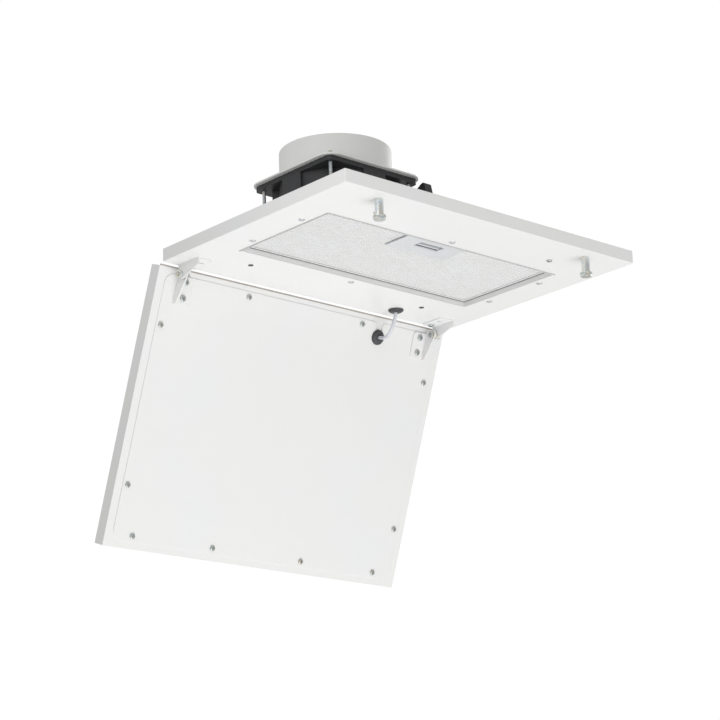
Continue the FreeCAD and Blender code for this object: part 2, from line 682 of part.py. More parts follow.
def door_shell():
    half = DOOR_W / 2.0
    tray = block(-half, -DOOR_D, -DOOR_T, half, 0, 0)
    tray = tray.makeFillet(FOLD_R, [e for e in tray.Edges if e.BoundBox.ZMin < 0.1 - DOOR_T])
    s = DOOR_SHEET
    tray = tray.cut(block(s - half, s - DOOR_D, s - DOOR_T, half - s, -s, -s))
    tools = [block(DOOR_LIP - half, DOOR_LIP - DOOR_D, -2, half - DOOR_LIP, -DOOR_LIP, 1)]
    tools.append(rod(DOOR_GROMMET[0], -DOOR_GROMMET[1], -2, 1, GROMMET_NECK + 2.2))
    for x, d in COVER_SCREWS:
        tools.append(rod(x, -d, -2, 1, 1.65))
        tools.append(rod(-x, -d, -2, 1, 1.65))
    for side in (-1, 1):
        tools.append(rod(side * DOOR_SCREW_X, -DOOR_SCREW_D[0], -2, 1, 2.1))
        tools.append(rod(side * LIGHT_X, -LIGHT_D, -DOOR_T - 1, 2 - DOOR_T, LIGHT_R))
    tools.append(rounded(-40, -PANEL_D - 7, 40, -PANEL_D + 7, -DOOR_T - 1, 2 - DOOR_T, 2.0))
    return tray.cut(tools)


def door_cover():
    half = DOOR_W / 2.0 - COVER_SIDE
    plate = rounded(-half, COVER_END - DOOR_D, half, -COVER_TOP, 0, COVER_T, COVER_R)
    x, d = DOOR_GROMMET
    tools = [rod(x, -d, -1, 2, GROMMET_NECK), block(x - 4.2, -d, -1, x + 4.2, 1, 2)]
    for side in (-1, 1):
        corner = block(-3.0, -3.0, -1, 3.0, 3.0, 2)
        corner.translate(Vector(x + side * 4.2, -COVER_TOP, 0))
        keep = rod(x + side * 7.2, -COVER_TOP - 3.0, -2, 3, 3.0)
        keep = keep.fuse(block(min(x + side * 7.2, x + side * 12), -20, -2, max(x + side * 7.2, x + side * 12), 0, 3))
        keep = keep.fuse(block(x + min(side * 4.2, side * 12), -20, -2, x + max(side * 4.2, side * 12), -COVER_TOP - 3, 3))
        tools.append(corner.cut(keep))
    for sx, sd in COVER_SCREWS:
        tools.append(rod(sx, -sd, -1, 2, 1.75))
        tools.append(rod(-sx, -sd, -1, 2, 1.75))
    for side in (-1, 1):
        for sd in DOOR_SCREW_D:
            tools.append(rod(side * DOOR_SCREW_X, -sd, -1, 2, 2.1))
    return plate.cut(tools)


def cover_screws():
    made = []
    for x, d in COVER_SCREWS:
        for side in (-1, 1):
            one = screw(side * x, -d, COVER_T, 3.1, 1.9, 1.6, 5.4)
            made.append(upward(one, side * x, -d, COVER_T))
    return made


def hinge_door_screws():
    made = []
    face = COVER_T + BRACKET_T
    for side in (-1, 1):
        for d in DOOR_SCREW_D:
            one = screw(side * DOOR_SCREW_X, -d, face, 3.4, 2.1, 2.0, 8.0)
            made.append(upward(one, side * DOOR_SCREW_X, -d, face))
    return made


def backing_plate():
    plate = block(DOOR_SCREW_X - 11, -38, -3, DOOR_SCREW_X + 11, -4, -DOOR_SHEET)
    return plate.cut([rod(DOOR_SCREW_X, -d, -4, 1, 2.05) for d in DOOR_SCREW_D])


def door_grommet():
    x, d = DOOR_GROMMET
    shape = grommet(x, -d, COVER_T, COVER_T)
    shape.rotate(Vector(x, -d, COVER_T), Vector(1, 0, 0), 180)
    return shape


def lights():
    bezels = []
    lenses = []
    boards = []
    outer = -DOOR_T
    for side in (-1, 1):
        x = side * LIGHT_X
        rim = [(25.6, outer - 1.2), (30.2, outer - 1.2), (31.0, outer - 0.5), (31.0, outer)]
        sleeve = [(27.8, outer), (27.8, outer + 6.2), (24.5, outer + 6.2), (24.5, outer + 2.4), (25.6, outer + 2.4)]
        bezels.append(turned(rim + sleeve, x, -LIGHT_D))
        lenses.append(rod(x, -LIGHT_D, outer - 0.7, outer + 2.3, 25.5))
        boards.append(rod(x, -LIGHT_D, outer + 6.2, outer + 7.8, 27.8))
    return {"light_bezels": bezels, "light_lenses": lenses, "light_boards": boards}


def control_fascia():
    outer = -DOOR_T
    plate = rounded(-45, -PANEL_D - 10, 45, -PANEL_D + 10, outer - 1.2, outer, 4.0)
    boss = rounded(-39.7, -PANEL_D - 6.7, 39.7, -PANEL_D + 6.7, outer, outer + 1.6, 2.0)
    body = plate.fuse(boss).removeSplitter()
    return body.cut([rod(x, -PANEL_D, outer - 3, outer + 3, BUTTON_R + 0.35) for x in BUTTON_X])


def button(x):
    outer = -DOOR_T
    cap = Part.makeCylinder(BUTTON_R, BUTTON_OUT + 3.4, Vector(x, -PANEL_D, outer - BUTTON_OUT))
    rim = [e for e in cap.Edges if len(e.Vertexes) == 1 and e.BoundBox.ZMax < outer - BUTTON_OUT + 0.01]
    cap = cap.makeFillet(0.7, rim)
    return cap.fuse(rod(x, -PANEL_D, outer + 2.0, outer + 2.9, 5.7)).removeSplitter()


def control_board():
    outer = -DOOR_T
    board = block(-50, -PANEL_D - 9, outer + 8.4, 50, -PANEL_D + 9, outer + 10)
    posts = [rod(side * 46, -PANEL_D, outer + DOOR_SHEET, outer + 8.4, 2.0) for side in (-1, 1)]
    return board.fuse(posts).removeSplitter()


def switches():
    outer = -DOOR_T
    made = []
    for x in BUTTON_X:
        body = block(x - 3, -PANEL_D - 3, outer + 5.4, x + 3, -PANEL_D + 3, outer + 8.4)
        made.append(body.fuse(rod(x, -PANEL_D, outer + 4.9, outer + 5.4, 1.7)).removeSplitter())
    return made


def light_driver():
    case = block(40, -110, DOOR_SHEET - DOOR_T, 130, -74, -5.0)
    return case.makeFillet(2.0, [e for e in case.Edges if abs(e.tangentAt(e.FirstParameter).z) > 0.9])


# ---------------------------------------------------------------- write every piece

os.makedirs("parts", exist_ok=True)

save("base_panel", base_panel())
save("filter_housing", filter_housing())
save("housing_top", housing_top())
save("housing_rivets", housing_rivets())
save("fixing_screws", fixing_screws())
for node, shapes in spacer_parts().items():
    save(node, shapes)
save("terminal_cover", terminal_cover())
save("terminal_block", terminal_block())
save("mains_bush", mains_bush())
save("base_grommet", grommet(BASE_GROMMET[0], BASE_GROMMET[1], UNDER, BASE_SHEET))
save("lead_clamp", lead_clamp())
save("door_lead", cable(LEAD_ROUTE, LEAD_R, "door_lead"))
save("fan_lead", cable(FAN_LEAD_ROUTE, LEAD_R, "fan_lead"))

save("hinge_base_brackets", both_sides(hinge_base()))
foot_screw = screw(FOOT_X, FOOT_SCREW_Y, UNDER - BRACKET_T, 3.4, 2.0, 2.0, 7.0)
foot_nut = hexagon(FOOT_X, FOOT_SCREW_Y, FLOOR, FLOOR + 3.2, 7.0)
foot_nut = foot_nut.cut(rod(FOOT_X, FOOT_SCREW_Y, FLOOR - 1, FLOOR + 5, 2.05))
save("hinge_foot_screws", both_sides(foot_screw))
save("hinge_foot_nuts", both_sides(foot_nut))
save("pivot_screws", both_sides(pivot_screw()))
save("pivot_nuts", both_sides(pivot_nut()))
save("pivot_washers", both_sides(pivot_washer()))

save("fan_lower_frame", fan_lower_frame())
save("fan_barrel", fan_barrel())
save("fan_upper_frame", fan_flange(FAN_Z + FAN_H - FAN_FLANGE))
save("fan_stator", fan_stator())
save("fan_bearings", fan_bearings())
save("fan_impeller", fan_impeller())
save("rotor_cage", rotor_cage())
save("fan_shaft", rod(FAN_X, 0, FAN_Z + 3.3, FAN_Z + 32, SHAFT_R))
save("fan_plug", fan_plug())
save("duct_plate", duct_plate())
save("duct_spigot", duct_spigot())
save("threaded_rods", [rod(x, y, 9.5, ROD_TOP, ROD_R) for x, y in rod_places()])
under_housing = HOUSING_TOP - HOUSING_SHEET
save("rod_nuts", rod_nuts(under_housing - 3.2, under_housing) + rod_nuts(SPIGOT_Z, SPIGOT_Z + 3.2))

save("filter_frame", filter_frame())
save("filter_lower_mesh", filter_sheet(FILTER_Z + FILTER_SHEET, LATCH_X + 0.3, LATCH_Y1 + 0.3))
save("filter_core_mesh", filter_sheet(FILTER_Z + 4.0, LATCH_CUP_X + 0.5, LATCH_CUP_Y + 0.5))
save("filter_upper_mesh", filter_sheet(FILTER_Z + FILTER_T - FILTER_SHEET - MESH_T, 0.1, -FILTER_Y))
save("latch_plate", latch_plate())
save("latch_slider", latch_slider())
save("latch_spring", latch_spring())

save_on_door("door_shell", door_shell())
save_on_door("door_cover", door_cover())
save_on_door("cover_screws", cover_screws())
save_on_door("hinge_door_brackets", both_sides(hinge_door()))
save_on_door("hinge_door_screws", hinge_door_screws())
save_on_door("hinge_backing_plates", both_sides(backing_plate()))
save_on_door("door_grommet", door_grommet())
for node, shapes in lights().items():
    save_on_door(node, shapes)
save_on_door("control_fascia", control_fascia())
save_on_door("control_board", control_board())
save_on_door("switches", switches())
save_on_door("light_driver", light_driver())
for number, x in enumerate(BUTTON_X, start=1):
    save_on_door("button_" + str(number), button(x))
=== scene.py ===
import json
import math

import bpy
from mathutils import Matrix, Vector


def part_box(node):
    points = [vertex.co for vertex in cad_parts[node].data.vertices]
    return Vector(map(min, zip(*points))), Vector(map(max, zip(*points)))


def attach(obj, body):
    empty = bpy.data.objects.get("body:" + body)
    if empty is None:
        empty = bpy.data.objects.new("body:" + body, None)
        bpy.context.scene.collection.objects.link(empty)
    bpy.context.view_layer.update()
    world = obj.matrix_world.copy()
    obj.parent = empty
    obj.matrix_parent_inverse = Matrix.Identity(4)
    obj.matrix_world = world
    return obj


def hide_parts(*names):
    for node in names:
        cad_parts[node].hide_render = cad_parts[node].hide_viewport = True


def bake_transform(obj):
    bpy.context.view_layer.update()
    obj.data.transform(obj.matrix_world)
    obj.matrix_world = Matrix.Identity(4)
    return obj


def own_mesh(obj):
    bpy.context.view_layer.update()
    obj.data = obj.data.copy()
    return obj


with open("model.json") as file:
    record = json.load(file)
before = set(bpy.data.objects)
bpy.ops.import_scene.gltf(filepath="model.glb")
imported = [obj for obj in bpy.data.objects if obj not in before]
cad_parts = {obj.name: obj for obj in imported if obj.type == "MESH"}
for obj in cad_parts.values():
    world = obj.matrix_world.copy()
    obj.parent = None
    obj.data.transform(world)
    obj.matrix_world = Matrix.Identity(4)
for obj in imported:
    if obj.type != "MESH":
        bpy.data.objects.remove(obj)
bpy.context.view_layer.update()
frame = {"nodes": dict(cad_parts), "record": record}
nodes = frame["nodes"]
MM = 0.001
TURN = 2.0 * math.pi


# ---------------------------------------------------------------- shader maths

class Wire:
    """One output of a node tree, which sums and products can be written with."""

    def __init__(self, work, socket):
        self.work = work
        self.socket = socket

    def maths(self, operation, first, second):
        return self.work.add("ShaderNodeMath", {"operation": operation}, {0: first, 1: second})

    def __add__(self, other):
        return self.maths("ADD", self, other)

    def __radd__(self, other):
        return self.maths("ADD", other, self)

    def __sub__(self, other):
        return self.maths("SUBTRACT", self, other)

    def __rsub__(self, other):
        return self.maths("SUBTRACT", other, self)

    def __mul__(self, other):
        return self.maths("MULTIPLY", self, other)

    def __rmul__(self, other):
        return self.maths("MULTIPLY", other, self)


class NodeWork:
    """A node tree under work; every node but the shader comes from add."""

    def __init__(self, tree):
        self.tree = tree

    def add(self, kind, settings=None, inputs=None, output=0):
        node = self.tree.nodes.new(kind)
        for name, value in (settings or {}).items():
            if name == "stops":
                self.set_stops(node.color_ramp, value)
            else:
                setattr(node, name, value)
        for name, value in (inputs or {}).items():
            self.put(node.inputs[name], value)
        if node.outputs:
            return Wire(self, node.outputs[output])

    def set_stops(self, ramp, stops):
        ramp.elements[0].position, ramp.elements[1].position = stops[0][0], stops[-1][0]
        ramp.elements[0].color, ramp.elements[1].color = (*stops[0][1], 1.0), (*stops[-1][1], 1.0)
        for position, colour in stops[1:-1]:
            ramp.elements.new(position).color = (*colour, 1.0)

    def put(self, socket, value):
        if isinstance(value, Wire):
            self.tree.links.new(value.socket, socket)
        elif isinstance(value, (tuple, list)) and len(value) == 3 and len(socket.default_value) == 4:
            socket.default_value = (*value, 1.0)
        else:
            socket.default_value = value


class Finish(NodeWork):
    """A material under work: one shader, and the nodes that vary its colour, gloss and surface."""

    def __init__(self, name, constants):
        self.material = bpy.data.materials.new(name)
        self.material.use_nodes = True
        super().__init__(self.material.node_tree)
        self.shader = self.tree.nodes["Principled BSDF"]
        self.feed(constants)

    def feed(self, values):
        for name, value in values.items():
            self.put(self.shader.inputs[name], value)

    # -- the few steps that most finishes share
    def place(self, stretch=(1.0, 1.0, 1.0)):
        where = self.add("ShaderNodeTexCoord", output="Object")
        return self.add("ShaderNodeMapping", None, {"Vector": where, "Scale": stretch})

    def noise(self, size_mm, detail=2.0, roughness=0.5, where=None, distortion=0.0):
        inputs = {"Vector": where or self.place(), "Scale": 1000.0 / size_mm, "Detail": detail}
        inputs.update({"Roughness": roughness, "Distortion": distortion})
        return self.add("ShaderNodeTexNoise", None, inputs)

    def cells(self, size_mm):
        return self.add("ShaderNodeTexVoronoi", None, {"Vector": self.place(), "Scale": 1000.0 / size_mm})

    def spread(self, value, low, high, to_low, to_high):
        inputs = {"Value": value, "From Min": low, "From Max": high, "To Min": to_low, "To Max": to_high}
        return self.add("ShaderNodeMapRange", None, inputs)

    def tint(self, amount, first, second):
        """A mix of two colours, which go into the node's inputs 6 and 7."""
        return self.add("ShaderNodeMix", {"data_type": "RGBA"}, {0: amount, 6: first, 7: second}, output=2)

    def ramp(self, value, stops):
        return self.add("ShaderNodeValToRGB", {"stops": stops}, {"Fac": value})

    def relief(self, height, depth_mm, normal=None):
        inputs = {"Height": height, "Distance": depth_mm * MM}
        if normal is not None:
            inputs["Normal"] = normal
        return self.add("ShaderNodeBump", None, inputs)

    def soft_edges(self, radius_mm):
        return self.add("ShaderNodeBevel", {"samples": 6}, {"Radius": radius_mm * MM})


# ---------------------------------------------------------------- finishes

def dimmed(colour, factor):
    return tuple(c * factor for c in colour)


def powder_coat(name, colour, peel_mm=1.7, depth_mm=0.012, gloss=0.34, edge_mm=0.5):
    coat = Finish(name, {"IOR": 1.5, "Coat Roughness": 0.18, "Coat IOR": 1.45})
    batch = coat.noise(90.0, 3.0, 0.5)
    speck = coat.noise(0.45, 2.0, 0.6)
    warm = tuple(c * f for c, f in zip(colour, (1.0, 0.996, 0.985)))
    cool = tuple(c * f for c, f in zip(colour, (0.985, 0.99, 1.0)))
    shade = coat.tint(coat.spread(batch, 0.35, 0.65, 0.0, 1.0), warm, cool)
    shade = coat.tint(coat.spread(speck, 0.30, 0.42, 0.35, 0.0), shade, dimmed(colour, 0.965))
    peel = coat.noise(peel_mm, 2.0, 0.45)
    fine = coat.noise(peel_mm * 0.22, 1.0, 0.5)
    surface = coat.relief(peel + fine * 0.18, depth_mm, coat.soft_edges(edge_mm))
    coat.feed({
        "Base Color": shade,
        "Roughness": coat.spread(batch + speck * 0.4, 0.4, 0.9, gloss - 0.05, gloss + 0.06),
        "Coat Weight": coat.spread(peel, 0.3, 0.7, 0.12, 0.22),
        "Normal": surface,
    })
    return coat.material


def zinc_plate(name, depth=1.0):
    """Passivated zinc; a depth below 1 darkens it, which the screws use as painted shade."""
    plate = Finish(name, {"IOR": 2.2})
    bloom = plate.noise(7.0, 3.0, 0.55, distortion=0.6)
    patch = plate.noise(2.2, 2.0, 0.5)
    hues = [
        (0.30, (0.62, 0.69, 0.74)),
        (0.44, (0.70, 0.75, 0.75)),
        (0.54, (0.76, 0.77, 0.73)),
        (0.64, (0.82, 0.76, 0.60)),
        (0.76, (0.72, 0.68, 0.76)),
    ]
    colour = plate.ramp(bloom, [(stop, dimmed(hue, depth)) for stop, hue in hues])
    worn = plate.spread(patch, 0.52, 0.70, 0.0, 0.25)
    rolled = plate.noise(0.9, 2.0, 0.5, where=plate.place((1.0, 0.18, 1.0)))
    pits = plate.cells(0.7)
    height = rolled * 0.6 + plate.spread(pits, 0.0, 0.22, 0.0, 1.0) * 0.4
    plate.feed({
        "Base Color": plate.tint(worn, colour, dimmed((0.52, 0.53, 0.56), depth)),
        "Metallic": plate.spread(patch, 0.60, 0.80, 1.0, 0.82),
        "Roughness": plate.spread(patch + bloom * 0.5, 0.5, 1.0, 0.22, 0.44),
        "Normal": plate.relief(height, 0.02, plate.soft_edges(0.22)),
    })
    return plate.material


# painted shade: the rivet heads are grey metal rather than white, so that they read as dark as the shade
# round them
def grey_shade_rivet(name):
    rivet = Finish(name, {"IOR": 1.8})
    haze = rivet.noise(1.4, 3.0, 0.55)
    rivet.feed({
        "Base Color": rivet.ramp(haze, [(0.35, (0.60, 0.61, 0.63)), (0.65, (0.72, 0.72, 0.73))]),
        "Metallic": rivet.spread(haze, 0.2, 0.8, 0.5, 0.7),
        "Roughness": rivet.spread(haze, 0.3, 0.7, 0.22, 0.34),
        "Normal": rivet.relief(haze, 0.008, rivet.soft_edges(0.25)),
    })
    return rivet.material


def nickel_plate(name):
    plate = Finish(name, {"IOR": 2.0})
    haze = plate.noise(1.6, 3.0, 0.6)
    plate.feed({
        "Base Color": plate.ramp(haze, [(0.35, (0.62, 0.60, 0.56)), (0.65, (0.78, 0.76, 0.72))]),
        "Metallic": plate.spread(haze, 0.2, 0.8, 1.0, 0.94),
        "Roughness": plate.spread(haze, 0.3, 0.7, 0.12, 0.3),
        "Normal": plate.relief(haze, 0.008, plate.soft_edges(0.2)),
    })
    return plate.material


def moulded_plastic(name, colour, gloss, texture_mm, depth_mm, fleck=0.06, edge_mm=0.35):
    plastic = Finish(name, {"IOR": 1.46})
    flow_lines = plastic.noise(38.0, 3.0, 0.5, where=plastic.place((1.0, 1.0, 0.25)), distortion=0.8)
    texture = plastic.noise(texture_mm, 3.0, 0.6)
    pits = plastic.cells(texture_mm * 1.4)
    lighter = tuple(min(1.0, c * (1.0 + fleck) + 0.004) for c in colour)
    darker = dimmed(colour, 1.0 - fleck)
    shade = plastic.tint(plastic.spread(flow_lines, 0.35, 0.65, 0.0, 1.0), darker, colour)
    shade = plastic.tint(plastic.spread(texture, 0.45, 0.75, 0.0, 0.8), shade, lighter)
    height = texture * 0.7 + plastic.spread(pits, 0.1, 0.6, 0.0, 1.0) * 0.3
    plastic.feed({
        "Base Color": shade,
        "Roughness": plastic.spread(texture + flow_lines * 0.5, 0.5, 1.0, gloss - 0.06, gloss + 0.08),
        "Normal": plastic.relief(height, depth_mm, plastic.soft_edges(edge_mm)),
    })
    return plastic.material


def bare_steel(name):
    """Steel sheets stacked along Z, a little oily."""
    steel = Finish(name, {"IOR": 2.4})
    sheets = steel.add("ShaderNodeTexWave", {"bands_direction": "Z"}, {
        "Vector": steel.place(), "Scale": 310.0, "Distortion": 0.6, "Detail": 1.0, "Detail Scale": 4.0},
        output=1)
    oil = steel.noise(5.0, 3.0, 0.6)
    hues = [(0.3, (0.30, 0.29, 0.28)), (0.5, (0.47, 0.47, 0.48)), (0.7, (0.56, 0.56, 0.57))]
    colour = steel.ramp(oil, hues)
    steel.feed({
        "Base Color": steel.tint(steel.spread(sheets, 0.0, 0.25, 0.55, 0.0), colour, (0.12, 0.12, 0.125)),
        "Metallic": steel.spread(oil, 0.25, 0.6, 0.8, 1.0),
        "Roughness": steel.spread(oil, 0.3, 0.7, 0.5, 0.3),
        "Normal": steel.relief(sheets, 0.05, steel.soft_edges(0.15)),
    })
    return steel.material


def bright_aluminium(name, depth=1.0):
    """Aluminium foil; a depth below 1 darkens it, which the filter's rising stretches use as painted shade.
    """
    foil = Finish(name, {"IOR": 1.6})
    cloud = foil.noise(14.0, 3.0, 0.55)
    drawn = foil.noise(1.1, 3.0, 0.6, where=foil.place((0.12, 1.0, 1.0)))
    hues = [(0.3, (0.92, 0.92, 0.91)), (0.52, (0.95, 0.95, 0.95)), (0.72, (0.95, 0.96, 0.97))]
    colour = foil.ramp(cloud, [(stop, dimmed(hue, depth)) for stop, hue in hues])
    streaks = foil.spread(drawn, 0.35, 0.5, 0.3, 0.0)
    foil.feed({
        "Base Color": foil.tint(streaks, colour, dimmed((0.78, 0.78, 0.77), depth)),
        "Metallic": foil.spread(cloud, 0.2, 0.8, 0.14, 0.24),
        "Roughness": foil.spread(drawn + cloud * 0.5, 0.4, 1.0, 0.34, 0.52),
        "Normal": foil.relief(drawn, 0.025, foil.soft_edges(0.12)),
    })
    return foil.material


def soft_rubber(name):
    rubber = Finish(name, {"IOR": 1.5})
    bloom = rubber.noise(3.0, 4.0, 0.65)
    skin = rubber.noise(0.35, 2.0, 0.5)
    rubber.feed({
        "Base Color": rubber.ramp(bloom, [
            (0.35, (0.040, 0.040, 0.043)), (0.60, (0.070, 0.071, 0.076)), (0.80, (0.115, 0.116, 0.122))]),
        "Roughness": rubber.spread(bloom, 0.3, 0.7, 0.42, 0.62),
        "Normal": rubber.relief(skin + bloom * 0.5, 0.02, rubber.soft_edges(0.4)),
    })
    return rubber.material


def soft_foam(name, colour):
    foam = Finish(name, {"IOR": 1.4})
    pores = foam.cells(0.5)
    patch = foam.noise(9.0, 3.0, 0.5)
    foam.feed({
        "Base Color": foam.ramp(patch, [(0.35, dimmed(colour, 0.85)), (0.65, colour)]),
        "Roughness": foam.spread(patch, 0.3, 0.7, 0.75, 0.9),
        "Normal": foam.relief(pores, 0.08),
    })
    return foam.material


def cable_sheath(name, colour, gloss):
    sheath = Finish(name, {"IOR": 1.52, "Coat Roughness": 0.12})
    twist = sheath.noise(5.0, 2.0, 0.5)
    drawn = sheath.noise(0.5, 2.0, 0.5)
    sheath.feed({
        "Base Color": sheath.tint(sheath.spread(twist, 0.3, 0.7, 0.0, 1.0), dimmed(colour, 0.86), colour),
        "Roughness": sheath.spread(drawn, 0.3, 0.7, gloss - 0.05, gloss + 0.07),
        "Coat Weight": sheath.spread(twist, 0.3, 0.7, 0.25, 0.45),
        "Normal": sheath.relief(drawn * 0.3 + twist, 0.03),
    })
    return sheath.material


def circuit_laminate(name):
    board = Finish(name, {"IOR": 1.5, "Coat Roughness": 0.2})
    across = board.add("ShaderNodeTexBrick", {"offset": 0.37, "offset_frequency": 3}, {
        "Vector": board.place(), "Scale": 160.0, "Mortar Size": 0.055, "Mortar Smooth": 0.1,
        "Brick Width": 0.9, "Row Height": 0.35}, output=1)
    pads = board.cells(4.6)
    weave = board.noise(0.8, 2.0, 0.5)
    mask = board.tint(board.spread(weave, 0.3, 0.7, 0.0, 1.0), (0.012, 0.115, 0.045), (0.020, 0.150, 0.062))
    track = board.tint(across * 0.8, mask, (0.045, 0.235, 0.10))
    solder = board.spread(pads, 0.13, 0.15, 1.0, 0.0)
    board.feed({
        "Base Color": board.tint(solder, track, (0.72, 0.72, 0.70)),
        "Metallic": solder * 0.9,
        "Roughness": board.spread(weave, 0.3, 0.7, 0.26, 0.4),
        "Coat Weight": (1 - solder) * 0.4,
        "Normal": board.relief(across + solder * 1.5, 0.05),
    })
    return board.material


def brushed_rim(name):
    rim = Finish(name, {"IOR": 2.4})
    brushed = rim.noise(0.6, 3.0, 0.6, where=rim.place((0.2, 1.0, 1.0)))
    cloud = rim.noise(9.0, 2.0, 0.5)
    rim.feed({
        "Base Color": rim.ramp(brushed, [(0.3, (0.55, 0.55, 0.56)), (0.7, (0.74, 0.74, 0.74))]),
        "Metallic": rim.spread(cloud, 0.0, 1.0, 1.0, 0.96),
        "Roughness": rim.spread(brushed, 0.3, 0.7, 0.24, 0.4),
        "Normal": rim.relief(brushed, 0.01, rim.soft_edges(0.25)),
    })
    return rim.material


def frosted_lens(name):
    lens = Finish(name, {"IOR": 1.49, "Transmission Weight": 0.35})
    prisms = lens.cells(2.4)
    haze = lens.noise(0.6, 2.0, 0.5)
    lens.feed({
        "Base Color": lens.ramp(haze, [(0.3, (0.86, 0.88, 0.90)), (0.7, (0.94, 0.95, 0.96))]),
        "Roughness": lens.spread(haze, 0.3, 0.7, 0.34, 0.5),
        "Normal": lens.relief(lens.spread(prisms, 0.0, 0.6, 1.0, 0.0), 0.12),
    })
    return lens.material


def led_chip(name):
    chip = Finish(name, {"IOR": 1.5})
    phosphor = chip.noise(0.4, 2.0, 0.5)
    chip.feed({
        "Base Color": chip.ramp(phosphor, [(0.35, (0.78, 0.62, 0.12)), (0.65, (0.92, 0.80, 0.30))]),
        "Roughness": chip.spread(phosphor, 0.3, 0.7, 0.3, 0.5),
        "Normal": chip.relief(phosphor, 0.02),
    })
    return chip.material


RECIPES = {
    "white_enamel": (powder_coat, {"colour": (0.865, 0.865, 0.858)}),
    "white_rivet": (grey_shade_rivet, {}),
    "zinc": (zinc_plate, {}),
    # painted shade: a darker copy of the zinc, so that the screws read as dark as the shade in their
    # recesses
    "screw_zinc": (zinc_plate, {"depth": 0.78}),
    "magnet_nickel": (nickel_plate, {}),
    "duct_grey": (moulded_plastic, {
        "colour": (0.84, 0.84, 0.825), "gloss": 0.34, "texture_mm": 0.9, "depth_mm": 0.010,
        "fleck": 0.025, "edge_mm": 0.5}),
    "fan_black": (moulded_plastic, {
        "colour": (0.040, 0.041, 0.044), "gloss": 0.42, "texture_mm": 0.7, "depth_mm": 0.03,
        "fleck": 0.25, "edge_mm": 0.5}),
    "steel_core": (bare_steel, {}),
    "filter_aluminium": (bright_aluminium, {}),
    # painted shade: a darker copy of the filter's aluminium, for the dark lines between the strands' rows
    "filter_cut_edge": (bright_aluminium, {"depth": 0.60}),
    "latch_grey": (moulded_plastic, {
        "colour": (0.68, 0.69, 0.71), "gloss": 0.3, "texture_mm": 0.8, "depth_mm": 0.010,
        "fleck": 0.03, "edge_mm": 0.4}),
    "grommet_rubber": (soft_rubber, {}),
    "lead_grey": (cable_sheath, {"colour": (0.72, 0.73, 0.79), "gloss": 0.2}),
    # painted shade: a dark foam seal in the gap round the filter, which paints the shade of that gap
    "seal_foam": (soft_foam, {"colour": (0.20, 0.19, 0.18)}),
    # painted shade: a foam seal on the door's top edge, dark so that it also paints the shade of the gap
    # there
    "door_seal_foam": (soft_foam, {"colour": (0.47, 0.43, 0.39)}),
    "lead_black": (cable_sheath, {"colour": (0.022, 0.022, 0.024), "gloss": 0.32}),
    "grey_plastic": (moulded_plastic, {
        "colour": (0.20, 0.205, 0.215), "gloss": 0.45, "texture_mm": 0.7, "depth_mm": 0.02,
        "fleck": 0.08}),
    "circuit_board": (circuit_laminate, {}),
    # painted shade: a grey bead along the opening's two near edges
    "bead_grey": (moulded_plastic, {
        "colour": (0.56, 0.56, 0.56), "gloss": 0.5, "texture_mm": 0.7, "depth_mm": 0.01,
        "fleck": 0.06, "edge_mm": 0.2}),
    "switch_black": (moulded_plastic, {
        "colour": (0.025, 0.025, 0.027), "gloss": 0.4, "texture_mm": 0.4, "depth_mm": 0.01,
        "fleck": 0.2, "edge_mm": 0.2}),
    "fascia_white": (moulded_plastic, {
        "colour": (0.82, 0.82, 0.81), "gloss": 0.24, "texture_mm": 1.1, "depth_mm": 0.008,
        "fleck": 0.015, "edge_mm": 0.5}),
    "light_rim": (brushed_rim, {}),
    "light_lens": (frosted_lens, {}),
    "light_chip": (led_chip, {}),
}
finishes = {name: recipe(name, **values) for name, (recipe, values) in RECIPES.items()}

for subpart in frame["record"]["subparts"]:
    piece = nodes[subpart["node"]]
    piece.data.materials.clear()
    piece.data.materials.append(finishes[subpart["material_slot"]])
# the screws take the darker zinc, painted shade for their drive recesses
for name in ("cover_screws", "hinge_door_screws", "pivot_screws", "fixing_screws", "hinge_foot_screws"):
    nodes[name].data.materials[0] = finishes["screw_zinc"]


# ---------------------------------------------------------------- building pieces

def into_scene(name, data):
    """A new object that holds the data, in the scene."""
    thing = bpy.data.objects.new(name, data)
    bpy.context.scene.collection.objects.link(thing)
    return thing


def make_piece(name, points, faces, finish, body, smooth=True, crease=None, replaced=(), slot=None):
    """A piece on a body; crease is the angle in degrees from which a smooth piece's edges are sharp."""
    mesh = bpy.data.meshes.new(name)
    mesh.from_pydata(points, [], faces)
    mesh.validate()
    piece = into_scene(name, mesh)
    mesh.materials.append(finishes[finish])
    for face in mesh.polygons:
        face.use_smooth = smooth
    if crease:
        mesh.set_sharp_from_angle(angle=math.radians(crease))
    if body:
        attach(piece, body)
    if replaced:
        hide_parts(*replaced)
    return piece


def rings_to_mesh(rings, closed=False):
    """Points and faces from rings of equal length; both ends are capped unless the rings close."""
    points = [point for ring in rings for point in ring]
    size = len(rings[0])
    faces = []
    spans = len(rings) if closed else len(rings) - 1
    for i in range(spans):
        here, there = i * size, ((i + 1) % len(rings)) * size
        for k in range(size):
            faces.append((here + k, here + (k + 1) % size, there + (k + 1) % size, there + k))
    if not closed:
        faces.append(tuple(reversed(range(size))))
        faces.append(tuple(range(len(points) - size, len(points))))
    return points, faces


def add_part(whole, part):
    """Adds one set of points and faces to another."""
    start = len(whole[0])
    whole[0].extend(part[0])
    whole[1].extend(tuple(start + i for i in face) for face in part[1])


